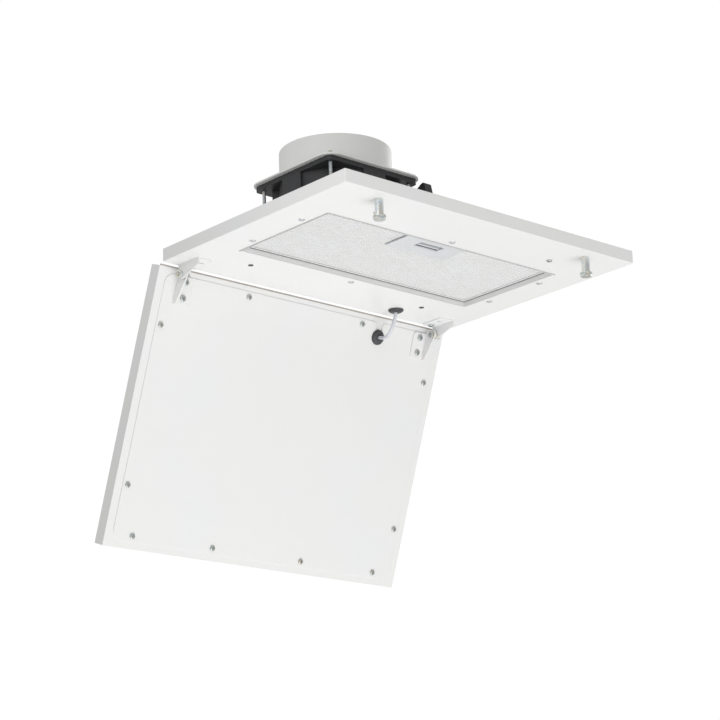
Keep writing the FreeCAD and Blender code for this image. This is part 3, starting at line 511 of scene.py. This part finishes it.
def tube(path, radius, sides):
    """Points and faces of a closed tube along path, whose rings turn as little as they can."""
    rings = []
    side = (path[1] - path[0]).normalized().orthogonal().normalized()
    for i, centre in enumerate(path):
        ahead = (path[min(i + 1, len(path) - 1)] - path[max(i - 1, 0)]).normalized()
        side = (side - ahead * side.dot(ahead)).normalized()
        other = ahead.cross(side)
        angles = [TURN * k / sides for k in range(sides)]
        rings.append([centre + (side * math.cos(a) + other * math.sin(a)) * radius for a in angles])
    return rings_to_mesh(rings)


def smooth_line(route):
    """The line of a smooth curve whose control points are the route's."""
    curve = bpy.data.curves.new("route", "CURVE")
    curve.dimensions = "3D"
    curve.resolution_u = 16
    spline = curve.splines.new("NURBS")
    spline.points.add(len(route) - 1)
    for point, place in zip(spline.points, route):
        point.co = (*place, 1.0)
    spline.order_u = 3
    spline.use_endpoint_u = True
    holder = bpy.data.objects.new("route", curve)
    line = bpy.data.meshes.new_from_object(holder)
    path = [v.co.copy() for v in line.vertices]
    bpy.data.objects.remove(holder)
    return path


# ---------------------------------------------------------------- the two leads

DOOR_LEAD_ROUTE = [
    (0.1030, 0.1215, -0.0085),
    (0.1030, 0.1215, -0.0190),
    (0.1024, 0.1252, -0.0288),
    (0.1026, 0.1312, -0.0374),
    (0.1040, 0.1396, -0.0414),
    (0.1055, 0.14943, -0.03902),
    (0.1055, 0.1588, -0.03559),
]
FAN_LEAD_ROUTE = [
    (-0.0205, -0.0560, 0.0345),
    (-0.0205, -0.0560, 0.0260),
    (-0.0195, -0.0470, 0.0196),
    (-0.0170, -0.0300, 0.0190),
    (-0.0130, -0.0050, 0.0195),
    (-0.0100, 0.0250, 0.0190),
    (-0.0080, 0.0500, 0.0193),
    (-0.0070, 0.0660, 0.0206),
    (-0.0060, 0.0770, 0.0165),
    (-0.0050, 0.0815, 0.0055),
    (-0.0020, 0.0850, -0.0035),
    (0.0070, 0.0915, -0.0086),
    (0.0210, 0.0990, -0.0088),
    (0.0390, 0.1055, -0.0080),
    (0.0600, 0.1090, -0.0075),
]
LEAD_RADIUS = 0.002
DOOR_LEAD_SIDES = 24
FAN_LEAD_SIDES = 20

lead_path = smooth_line(DOOR_LEAD_ROUTE)
door_lead = make_piece("door_lead_sheath", *tube(lead_path, LEAD_RADIUS, DOOR_LEAD_SIDES), "lead_grey", None,
                       replaced=["door_lead"])
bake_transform(door_lead)

fan_lead_path = smooth_line(FAN_LEAD_ROUTE)
make_piece("fan_lead_sheath", *tube(fan_lead_path, LEAD_RADIUS, FAN_LEAD_SIDES), "lead_black", "base",
           replaced=["fan_lead"])


# ---------------------------------------------------------------- grease filter

CELL_LONG = 6.2 * MM
CELL_SHORT = 3.3 * MM
STRAND_THICK = 0.22 * MM
STRAND_TILT = 0.17 * MM
KNUCKLE_SHARE = 0.11         # half the flat length where two rows join, as a share of a cell
LEG_STEEPNESS = 1.8          # how fast a strand crosses over between two knuckles
LEG_RISE = 0.1 * MM          # a stretch that rises more than this takes a darker aluminium, painted shade
# piece, node, cell size against the lower layer's, strand width, and the notch for the latch
# (half its width, and the Y of its inner edge)
FILTER_LAYERS = [
    ("filter_lower_strands", "filter_lower_mesh", 1.0, 0.78 * MM, (0.0403, -0.0194)),
    ("filter_core_strands", "filter_core_mesh", 1.45, 1.6 * MM, (0.0205, -0.0295)),
    ("filter_upper_strands", "filter_upper_mesh", 1.7, 2.0 * MM, None),
]


def strand_runs(y, half_x, notch):
    """The stretches of X that a strand at y may fill, outside the notch."""
    if notch and y < notch[1]:
        return [(-half_x, -notch[0]), (notch[0], half_x)]
    return [(-half_x, half_x)]


def strand_stops(start, end, half_cell, knuckle):
    """The places along X where a strand bends: its two ends, and both sides of every knuckle."""
    xs = [start]
    i = math.ceil(start / half_cell)
    while i * half_cell <= end:
        xs += [x for x in (i * half_cell - knuckle, i * half_cell + knuckle) if start < x < end]
        i += 1
    return xs + [end]


def expanded_metal(name, node, zoom, strand, notch):
    """A sheet of expanded metal: zigzag strands that meet their neighbours and lie like shingles."""
    low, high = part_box(node)
    middle = (low.z + high.z) / 2.0
    cell = CELL_LONG * zoom
    row = CELL_SHORT * zoom / 2.0
    swing = (row - strand) / 2.0
    points = []
    faces = []
    rising = []
    count = int((high.y - low.y - strand) / row)
    first = (low.y + high.y - count * row) / 2.0
    for j in range(count + 1):
        y = first + j * row
        for start, end in strand_runs(y, high.x, notch):
            base = len(points)
            levels = []
            for x in strand_stops(start, end, cell / 2.0, cell * KNUCKLE_SHARE):
                phase = (x / cell + 0.5 * (j % 2)) % 1.0
                wave = abs(phase - 0.5) * 4.0 - 1.0
                wave = max(-1.0, min(1.0, wave * LEG_STEEPNESS))
                level = max(low.y + strand, min(high.y - strand, y + swing * wave))
                levels.append(level)
                for side, face in ((-1, -1), (1, -1), (1, 1), (-1, 1)):
                    z = middle - side * STRAND_TILT + face * STRAND_THICK / 2.0
                    points.append((x, level + side * strand / 2.0, z))
            for i in range(len(levels) - 1):
                for k in range(4):
                    a, b = base + 4 * i + k, base + 4 * i + (k + 1) % 4
                    if levels[i + 1] > levels[i] + LEG_RISE:
                        rising.append(len(faces))
                    faces.append((a, a + 4, b + 4, b))
            last = base + 4 * (len(levels) - 1)
            faces.append((base, base + 1, base + 2, base + 3))
            faces.append((last + 3, last + 2, last + 1, last))
    sheet = make_piece(name, points, faces, "filter_aluminium", "base", smooth=False, replaced=[node])
    # the rising stretches take the darker aluminium: painted shade along one family of strand legs
    sheet.data.materials.append(finishes["filter_cut_edge"])
    for i in rising:
        sheet.data.polygons[i].material_index = 1


for layer in FILTER_LAYERS:
    expanded_metal(*layer)


# ---------------------------------------------------------------- latch spring

SPRING_BACK = -31.3 * MM
SPRING_FREE = 6.4 * MM
SPRING_HEIGHT = -5.1 * MM
COIL_R = 1.5 * MM
WIRE_R = 0.25 * MM
WIRE_SIDES = 10
COIL_PITCH = 1.2 * MM
STEPS_PER_TURN = 24

wire_path = []
for i in range(int(SPRING_FREE / COIL_PITCH * STEPS_PER_TURN) + 1):
    a = TURN * i / STEPS_PER_TURN
    y = SPRING_BACK - SPRING_FREE + COIL_PITCH * i / STEPS_PER_TURN
    wire_path.append(Vector((COIL_R * math.cos(a), y, SPRING_HEIGHT + COIL_R * math.sin(a))))
spring = make_piece("latch_coil", *tube(wire_path, WIRE_R, WIRE_SIDES), "zinc", "base",
                    replaced=["latch_spring"])
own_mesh(spring)


# ---------------------------------------------------------------- threaded rods

FAN_CENTRE = Vector((-0.086, 0.0, 0.0))
ROD_CREST = 1.95 * MM
ROD_ROOT = 1.56 * MM
ROD_TIP = 0.86 * ROD_ROOT
ROD_THREAD = 0.7 * MM
ROD_HALF = 0.0524
ROD_SIDES = 12
STEPS_PER_THREAD = 4


def threaded_rod(x, y, z0, z1):
    """A rod with a helical thread and a chamfer at both ends."""
    rings = []
    count = int((z1 - z0) / ROD_THREAD * STEPS_PER_THREAD)
    for i in range(count + 1):
        z = z0 + (z1 - z0) * i / count
        ring = []
        to_end = min(z - z0, z1 - z)
        for k in range(ROD_SIDES):
            phase = (i / STEPS_PER_THREAD - k / ROD_SIDES) % 1.0
            r = ROD_ROOT + (ROD_CREST - ROD_ROOT) * (1.0 - abs(2.0 * phase - 1.0))
            r = min(r, ROD_TIP + to_end)
            a = TURN * k / ROD_SIDES
            ring.append((x + r * math.cos(a), y + r * math.sin(a), z))
        rings.append(ring)
    return rings_to_mesh(rings)


low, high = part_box("threaded_rods")
rods = ([], [])
for side_x in (-1, 1):
    for side_y in (-1, 1):
        add_part(rods, threaded_rod(FAN_CENTRE.x + side_x * ROD_HALF, side_y * ROD_HALF, low.z, high.z))
make_piece("threaded_rod_set", *rods, "zinc", "base", smooth=False, replaced=["threaded_rods"])


# ---------------------------------------------------------------- fan impeller

HUB = 33.0 * MM
HUB_INSIDE = 30.0 * MM
HUB_BORE = 2.6 * MM
HUB_SIDES = 72
BLADE_COUNT = 7
BLADE_CLEAR = 1.0 * MM
BLADE_STATIONS = 9
BLADE_AROUND = 12
BLADE_SWEEP = math.radians(9.0)
# each at the blade's root and at its tip
BLADE_R = (HUB - 0.8 * MM, 56.1 * MM)
BLADE_PITCH = (44.0, 32.0)
BLADE_CHORD = (0.97, 0.87)   # share of what fills the hub's height
BLADE_CAMBER = (0.10, 0.07)  # share of the chord
BLADE_THICK = (1.5 * MM, 0.9 * MM)


def along_blade(at_root_and_tip, t):
    root, tip = at_root_and_tip
    return root + (tip - root) * t


def blade(start, low_z, high_z):
    """A cambered, swept fan blade with a rounded section that thins towards its tip."""
    rings = []
    for i in range(BLADE_STATIONS):
        t = i / (BLADE_STATIONS - 1)
        r = along_blade(BLADE_R, t)
        pitch = math.radians(along_blade(BLADE_PITCH, t))
        chord = (high_z - low_z) / math.sin(pitch) * along_blade(BLADE_CHORD, t)
        camber = chord * along_blade(BLADE_CAMBER, t)
        thick = along_blade(BLADE_THICK, t)
        ring = []
        for k in range(BLADE_AROUND):
            a = TURN * k / BLADE_AROUND
            along = 0.5 * math.cos(a)
            off = camber * (1.0 - 4.0 * along * along) + 0.5 * thick * math.sin(a)
            run = along * chord * math.cos(pitch) - off * math.sin(pitch)
            rise = along * chord * math.sin(pitch) + off * math.cos(pitch) - camber * 0.5
            angle = start + BLADE_SWEEP * t * t + run / r
            z = max(low_z, min(high_z, (low_z + high_z) / 2.0 + rise))
            ring.append((FAN_CENTRE.x + r * math.cos(angle), r * math.sin(angle), z))
        rings.append(ring)
    return rings_to_mesh(rings)


def turned_rings(profile, centre, sides):
    """Rings of a turned shape about a vertical axis, from (radius, height) pairs."""
    rings = []
    for r, z in profile:
        angles = [TURN * k / sides for k in range(sides)]
        rings.append([(centre.x + r * math.cos(a), centre.y + r * math.sin(a), z) for a in angles])
    return rings


low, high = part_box("fan_impeller")
hub_profile = [
    # the skirt
    (HUB_INSIDE, low.z),
    (HUB - 0.4 * MM, low.z),
    (HUB, low.z + 0.4 * MM),
    # the rounded shoulder
    (HUB, high.z - 3.0 * MM),
    (HUB - 0.25 * MM, high.z - 1.8 * MM),
    (HUB - 0.9 * MM, high.z - 0.8 * MM),
    (HUB - 2.0 * MM, high.z - 0.2 * MM),
    (HUB - 3.2 * MM, high.z),
    # the sunk ring round the boss
    (12.0 * MM, high.z),
    (11.2 * MM, high.z - 0.8 * MM),
    (5.0 * MM, high.z - 0.8 * MM),
    (4.4 * MM, high.z - 0.2 * MM),
    # the bore and the inside
    (HUB_BORE, high.z - 0.2 * MM),
    (HUB_BORE, high.z - 3.0 * MM),
    (29.0 * MM, high.z - 3.0 * MM),
    (HUB_INSIDE, high.z - 4.0 * MM),
]
impeller = ([], [])
add_part(impeller, rings_to_mesh(turned_rings(hub_profile, FAN_CENTRE, HUB_SIDES), closed=True))
for i in range(BLADE_COUNT):
    add_part(impeller, blade(TURN * i / BLADE_COUNT, low.z + BLADE_CLEAR, high.z - BLADE_CLEAR))
make_piece("fan_impeller_moulding", *impeller, "fan_black", "fan_rotor", crease=35.0,
           replaced=["fan_impeller"])


# ---------------------------------------------------------------- lights and buttons in the door

OPEN_ANGLE = math.radians(110.1)
PIVOT = Vector((0.0, 0.140, -0.0249))
PIVOT_FROM_EDGE = 5.5 * MM
PIVOT_FROM_PLATE = 11.5 * MM
OUTER = -15.0 * MM           # the door's outer face, from its plate
DOOR_SIDES = 48
CHIP_SIDES = 8
ON_AXIS = 0.05 * MM          # the smallest radius of a turned shape with no bore


def on_door(x, d, w):
    """A point of the open door: x along the hinge, d from its hinged edge, w from its plate to the base."""
    along = PIVOT_FROM_EDGE - d
    out = w - PIVOT_FROM_PLATE
    y = PIVOT.y + along * math.cos(OPEN_ANGLE) - out * math.sin(OPEN_ANGLE)
    z = PIVOT.z + along * math.sin(OPEN_ANGLE) + out * math.cos(OPEN_ANGLE)
    return Vector((x, y, z))


def turned_on_door(profile, x, d, sides, closed=False):
    """Points and faces of a turned shape that stands square on the door, from (radius, w) pairs."""
    rings = []
    for r, w in profile:
        angles = [TURN * k / sides for k in range(sides)]
        rings.append([on_door(x + r * math.cos(a), d + r * math.sin(a), w) for a in angles])
    return rings_to_mesh(rings, closed)


LIGHT_X = 0.100
LIGHT_D = 0.212
LENS_R = 25.5 * MM
LENS_RINGS_R = LENS_R - 1.6 * MM
LENS_RINGS = 14
RING_WIDTH = 0.5 * MM
LENS_BACK = OUTER + 2.3 * MM
LENS_FACE = OUTER - 0.65 * MM
LENS_GROOVE = OUTER - 0.35 * MM
lens_profile = [(LENS_R, LENS_BACK), (LENS_R, OUTER - 0.4 * MM), (LENS_R - 0.4 * MM, LENS_FACE)]
for i in range(LENS_RINGS):
    r = LENS_RINGS_R * (1.0 - i / LENS_RINGS)
    lens_profile.append((r, LENS_FACE))
    lens_profile.append((r - RING_WIDTH, LENS_GROOVE))
lens_profile.append((ON_AXIS, OUTER - 0.5 * MM))
lens_profile.append((ON_AXIS, LENS_BACK))

CHIP_RINGS = [(8.0 * MM, 5), (18.0 * MM, 10)]
chip_profile = [
    (2.0 * MM, OUTER + 6.1 * MM),
    (2.0 * MM, OUTER + 5.5 * MM),
    (1.6 * MM, OUTER + 5.3 * MM),
    (1.3 * MM, OUTER + 5.5 * MM),
    (0.2 * MM, OUTER + 5.5 * MM),
]
lenses = ([], [])
chips = ([], [])
for side in (-1, 1):
    add_part(lenses, turned_on_door(lens_profile, side * LIGHT_X, LIGHT_D, DOOR_SIDES, closed=True))
    for ring_r, count in CHIP_RINGS:
        for i in range(count):
            a = TURN * i / count
            x = side * LIGHT_X + ring_r * math.cos(a)
            d = LIGHT_D + ring_r * math.sin(a)
            add_part(chips, turned_on_door(chip_profile, x, d, CHIP_SIDES))
make_piece("light_lens_pair", *lenses, "light_lens", "door", crease=30.0, replaced=["light_lenses"])
make_piece("light_chips", *chips, "light_chip", "door", smooth=False, slot="light_lens")

PANEL_D = 0.262
BUTTON_X = (-0.026, 0.0, 0.026)
BUTTON_R = 4.5 * MM
BUTTON_FLANGE_R = 5.7 * MM
BUTTON_CENTRE_R = 0.1 * MM
BUTTON_FACE = OUTER - 2.0 * MM
button_profile = [
    # the flange that keeps it in, and the side
    (BUTTON_FLANGE_R, OUTER + 2.9 * MM),
    (BUTTON_FLANGE_R, OUTER + 2.0 * MM),
    (BUTTON_R, OUTER + 2.0 * MM),
    (BUTTON_R, BUTTON_FACE + 0.7 * MM),
    (BUTTON_R - 0.2 * MM, BUTTON_FACE + 0.2 * MM),
    (BUTTON_R - 0.7 * MM, BUTTON_FACE),
    # the dished face
    (3.3 * MM, BUTTON_FACE),
    (2.9 * MM, BUTTON_FACE + 0.22 * MM),
    (1.6 * MM, BUTTON_FACE + 0.38 * MM),
    (BUTTON_CENTRE_R, BUTTON_FACE + 0.42 * MM),
    # the hollow behind it
    (BUTTON_CENTRE_R, OUTER + 1.4 * MM),
    (2.0 * MM, OUTER + 2.9 * MM),
]
for number, x in enumerate(BUTTON_X, start=1):
    body = f"button_{number}"
    make_piece(f"button_cap_{number}", *turned_on_door(button_profile, x, PANEL_D, DOOR_SIDES, closed=True),
               "fascia_white", body, crease=38.0, replaced=[body])


# ---------------------------------------------------------------- foam seals, dark to paint the shade of the gaps they sit in

SEAL_OUT = 1.5 * MM
SEAL_TOP = 0.1 * MM
SEAL_DEEP = 2.6 * MM
SEAL_END = 2.0 * MM
DOOR_HALF = 0.200
# a foam seal on the door's top edge, dark to paint the shade in the gap between door and base
door_seal_and_shade_section = [
    (0.0, -SEAL_TOP),
    (-SEAL_OUT + 0.3 * MM, -SEAL_TOP),
    (-SEAL_OUT, -0.5 * MM),
    (-SEAL_OUT, -SEAL_DEEP),
    (0.0, -SEAL_DEEP),
]
rings = []
for x in (-DOOR_HALF + SEAL_END, DOOR_HALF - SEAL_END):
    rings.append([on_door(x, d, w) for d, w in door_seal_and_shade_section])
make_piece("door_edge_seal_and_shade", *rings_to_mesh(rings), "door_seal_foam", "door", smooth=False,
           slot="grommet_rubber")

SEAL_LOW = -8.4 * MM
SEAL_HIGH = -6.8 * MM
SEAL_IN = (0.15685, 0.06845)
SEAL_EDGE = (0.15795, 0.06965)
TONGUE_HALF = 12.0 * MM


def seal_loop(x, y):
    """Corners of the filter's seal, which also paints the gap's shade, from one side of the latch tongue,
    all round to the other.
    """
    return [(-TONGUE_HALF, -y), (-x, -y), (-x, y), (x, y), (x, -y), (TONGUE_HALF, -y)]


# a dark foam seal in the gap round the filter, which also paints the gap's shade
rings = []
for (x0, y0), (x1, y1) in zip(seal_loop(*SEAL_IN), seal_loop(*SEAL_EDGE)):
    rings.append([(x0, y0, SEAL_LOW), (x1, y1, SEAL_LOW), (x1, y1, SEAL_HIGH), (x0, y0, SEAL_HIGH)])
make_piece("filter_seal_and_shade", *rings_to_mesh(rings), "seal_foam", "base", smooth=False, slot="grommet_rubber")


# ---------------------------------------------------------------- edge bead and plugs in the rear holes, both painted shade

UNDERSIDE = -14.0 * MM
HAIR = 0.02 * MM             # how far a piece stands off the underside
BEAD_DROP = 0.8 * MM
BEAD_IN = Vector((0.1568, 0.0685))
BEAD_OUT = Vector((0.1584, 0.0701))
BEAD_WIDE = 0.0016
# a grey bead only along the opening's two near edges: painted shade for the dark line where the wall shades
# the filter
RAILS = [
    (-BEAD_OUT.x, -BEAD_OUT.x + BEAD_WIDE, -BEAD_OUT.y, BEAD_OUT.y),
    (-BEAD_IN.x, BEAD_OUT.x, -BEAD_OUT.y, -BEAD_IN.y),
]


def slab(x0, x1, y0, y1, z0, z1):
    """Points and faces of a box."""
    return rings_to_mesh([[(x, y0, z0), (x, y1, z0), (x, y1, z1), (x, y0, z1)] for x in (x0, x1)])


bead = ([], [])
for rail in RAILS:
    add_part(bead, slab(*rail, UNDERSIDE - BEAD_DROP, UNDERSIDE - HAIR))
make_piece("opening_shade_bead", *bead, "bead_grey", "base", smooth=False, slot="grey_plastic")

# painted shade: black rubber plugs in the rear fixing holes, standing in for the dark inside of the holes
HOLE_X = 0.1203
HOLE_Y = 0.0985
PLUG_R = 2.25 * MM
PLUG_HEAD_R = 2.9 * MM
PLUG_CENTRE_R = 0.2 * MM
PLUG_SIDES = 24
plug_profile = [
    (PLUG_CENTRE_R, UNDERSIDE + 1.1 * MM),
    (PLUG_R, UNDERSIDE + 1.1 * MM),
    (PLUG_R, UNDERSIDE - HAIR),
    (PLUG_HEAD_R, UNDERSIDE - HAIR),
    (PLUG_HEAD_R - 0.2 * MM, UNDERSIDE - 0.4 * MM),
    (PLUG_CENTRE_R, UNDERSIDE - 0.5 * MM),
]
plugs = ([], [])
for x in (-HOLE_X, HOLE_X):
    add_part(plugs, rings_to_mesh(turned_rings(plug_profile, Vector((x, HOLE_Y, 0.0)), PLUG_SIDES)))
make_piece("rear_hole_shade_plugs", *plugs, "grommet_rubber", "base", crease=35.0)


# ---------------------------------------------------------------- camera

AIM = Vector((-0.06016, 0.0, -0.13024))
AZIMUTH = math.radians(-41.652)
ELEVATION = math.radians(-16.69)
ROLL = math.radians(-1.693)
DISTANCE = 2.4498
LENS_MM = 121.19
SENSOR_MM = 36.0
SIGHT = 50.0

back = Vector((
    math.sin(AZIMUTH) * math.cos(ELEVATION),
    -math.cos(AZIMUTH) * math.cos(ELEVATION),
    math.sin(ELEVATION),
))
right = Vector((0.0, 0.0, 1.0)).cross(back).normalized()
up = back.cross(right)
rolled_right = right * math.cos(ROLL) + up * math.sin(ROLL)
rolled_up = up * math.cos(ROLL) - right * math.sin(ROLL)
eye = bpy.data.cameras.new("eye")
eye.lens = LENS_MM
eye.sensor_width = SENSOR_MM
eye.clip_end = SIGHT
camera = into_scene("eye", eye)
turned = Matrix((rolled_right, rolled_up, back)).transposed().to_4x4()
camera.matrix_world = Matrix.Translation(AIM + back * DISTANCE) @ turned
bpy.context.scene.camera = camera
bpy.context.scene.view_settings.view_transform = "Standard"


# ---------------------------------------------------------------- light

def soft_light(name, place, aim, size, watts):
    """A square lamp that lights the hood and isn't seen itself."""
    lamp = bpy.data.lights.new(name, "AREA")
    lamp.shape = "RECTANGLE"
    lamp.size = size
    lamp.size_y = size
    lamp.energy = watts
    holder = into_scene(name, lamp)
    holder.location = place
    holder.rotation_euler = (Vector(aim) - Vector(place)).to_track_quat("-Z", "Y").to_euler()
    holder.visible_camera = False


soft_light("key_below", (0.0, -0.95, -2.4), (0.0, 0.0, -0.1), 2.4, 54.0)
soft_light("near_left", (-0.46, -0.18, 0.04), (-0.2, -0.14, 0.0), 0.25, 0.27)
soft_light("rim_right", (2.2, 0.6, 1.2), (0.0, 0.0, 0.0), 1.4, 9.0)

OVERHEAD_ENERGY = 0.6
OVERHEAD_SPREAD = math.radians(40.0)
OVERHEAD_FROM = Vector((0.15, 0.45, 0.88))
overhead = bpy.data.lights.new("overhead", "SUN")
overhead.energy = OVERHEAD_ENERGY
overhead.angle = OVERHEAD_SPREAD
into_scene("overhead", overhead).rotation_euler = OVERHEAD_FROM.to_track_quat("Z", "Y").to_euler()

ROOM_LIGHT = {"Color": (0.998, 0.999, 1.0), "Strength": 0.54}
BACKDROP = {"Color": (1.0, 1.0, 1.0), "Strength": 1.02}
room = bpy.data.worlds.new("studio")
bpy.context.scene.world = room
room.use_nodes = True
room.node_tree.nodes.clear()
air = NodeWork(room.node_tree)
seen = air.add("ShaderNodeLightPath", output="Is Camera Ray")
lighting = air.add("ShaderNodeBackground", None, ROOM_LIGHT)
shown = air.add("ShaderNodeBackground", None, BACKDROP)
either = air.add("ShaderNodeMixShader", None, {0: seen, 1: lighting, 2: shown})
air.add("ShaderNodeOutputWorld", None, {"Surface": either})


# ---------------------------------------------------------------- floor

FLOOR_Z = -2.6
FLOOR_HALF = 14.0

paper = Finish("studio_floor", {"IOR": 1.4})
cloud = paper.noise(60.0, 3.0, 0.5)
paper.feed({
    "Base Color": paper.ramp(cloud, [(0.3, (0.80, 0.80, 0.795)), (0.7, (0.84, 0.84, 0.835))]),
    "Roughness": paper.spread(cloud, 0.3, 0.7, 0.6, 0.75),
})
floor_mesh = bpy.data.meshes.new("studio_floor")
corners = [(x * FLOOR_HALF, y * FLOOR_HALF, FLOOR_Z) for x, y in ((-1, -1), (1, -1), (1, 1), (-1, 1))]
floor_mesh.from_pydata(corners, [], [(0, 1, 2, 3)])
floor_mesh.materials.append(paper.material)
floor = into_scene("studio_floor", floor_mesh)
